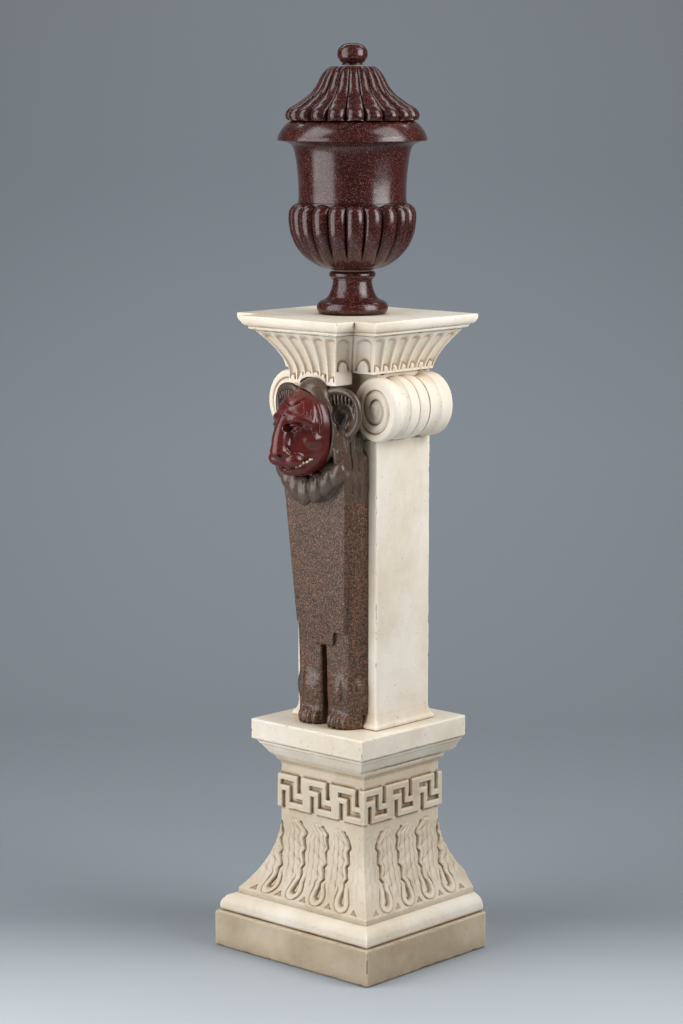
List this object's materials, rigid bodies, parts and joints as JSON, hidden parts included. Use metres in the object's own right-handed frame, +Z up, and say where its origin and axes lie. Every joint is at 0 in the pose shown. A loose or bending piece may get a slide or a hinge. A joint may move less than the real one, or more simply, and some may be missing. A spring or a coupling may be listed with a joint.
{
  "type": "lidded stone urn on a lion herm pedestal",
  "caption": "Wall-standing marble pedestal with a lion herm, fluted capital and meander band, carrying a lidded gadrooned porphyry urn.",
  "frame": {"origin": "floor level under the plinth, on the upright axis of the die", "axes": "+Z up, -Y out of the front (the lion looks along -Y), +Y towards the wall, +X to the right of a viewer facing the front"},
  "size_m": [0.343, 0.3257, 1.4899],
  "materials": {
    "pedestal_marble": "honed cream marble with ochre staining",
    "plinth_marble": "worn cream marble, rougher and greyer",
    "herm_granite": "polished dark granite with orange speckle",
    "mask_red_marble": "high-polish deep red marble",
    "tooth_inlay": "satin ivory-coloured stone",
    "urn_porphyry": "mirror-polished purple porphyry with fine pale speckle",
    "lime_mortar": "matt lime mortar",
    "dowel_iron": "rough wrought iron"
  },
  "bodies": {
    "pedestal": {"plinth_slab": "plinth_marble", "torus_course": "pedestal_marble", "die_block": "pedestal_marble", "cap_slab": "pedestal_marble", "shaft_block": "pedestal_marble", "volute_block": "pedestal_marble", "bell_block": "pedestal_marble", "abacus_slab": "pedestal_marble", "herm_body": "herm_granite", "lion_mask": "mask_red_marble", "tooth_row_left": "tooth_inlay", "tooth_row_right": "tooth_inlay", "base_dowel": "dowel_iron", "cap_dowel": "dowel_iron", "shaft_dowel": "dowel_iron", "capital_dowel": "dowel_iron", "bell_dowel": "dowel_iron", "abacus_dowel": "dowel_iron", "urn_pin": "dowel_iron", "upper_cramp": "dowel_iron", "lower_cramp": "dowel_iron", "mask_pin": "dowel_iron", "paw_dowel_left": "dowel_iron", "paw_dowel_right": "dowel_iron"},
    "urn": {"urn_foot": "urn_porphyry", "foot_bed": "lime_mortar", "urn_bowl": "urn_porphyry", "stem_pin": "dowel_iron"},
    "lid": {"urn_lid": "urn_porphyry", "knob_bed": "lime_mortar", "lid_knob": "urn_porphyry", "knob_pin": "dowel_iron"}
  },
  "joints": [
    {"name": "urn_lift", "type": "slide", "parent": "pedestal", "child": "urn", "axis": [0, 0, 1], "range_m": [0, 0.06]},
    {"name": "lid_lift", "type": "slide", "parent": "urn", "child": "lid", "axis": [0, 0, 1], "range_m": [0, 0.08]}
  ]
}
